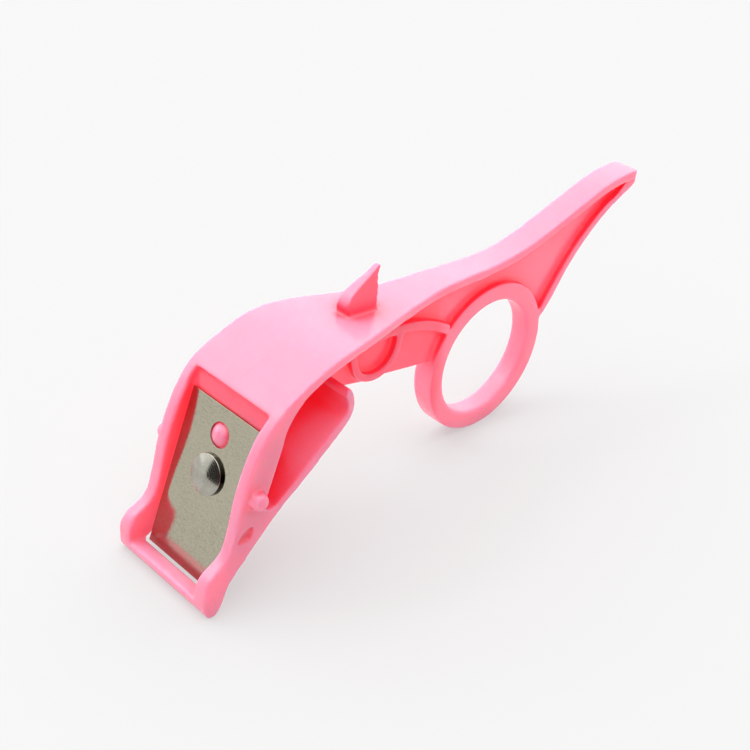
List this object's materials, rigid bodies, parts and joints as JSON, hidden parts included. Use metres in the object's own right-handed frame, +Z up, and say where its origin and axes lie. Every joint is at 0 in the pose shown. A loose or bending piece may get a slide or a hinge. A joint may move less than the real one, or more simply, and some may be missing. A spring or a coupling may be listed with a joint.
{
  "type": "corn stripper",
  "caption": "Hand corn stripper in the shape of a leaping dolphin: one moulded handle with a finger ring, and a flat steel blade riveted between two cheeks in its head.",
  "frame": {"origin": "on the surface the part stands on, under the middle of its length and width", "axes": "+X from the head to the tail, +Y across the width, +Z up, with the part standing on the bar of its head and on its finger ring"},
  "size_m": [0.1276, 0.0298, 0.0491],
  "materials": {
    "pink_plastic": "satin moulded pink plastic, slightly translucent",
    "blade_steel": "ground strip steel with fine scratches",
    "rivet_steel": "low turned head with fine rings"
  },
  "bodies": {
    "root": {"handle": "pink_plastic", "blade": "blade_steel", "rivet": "rivet_steel"}
  },
  "joints": []
}
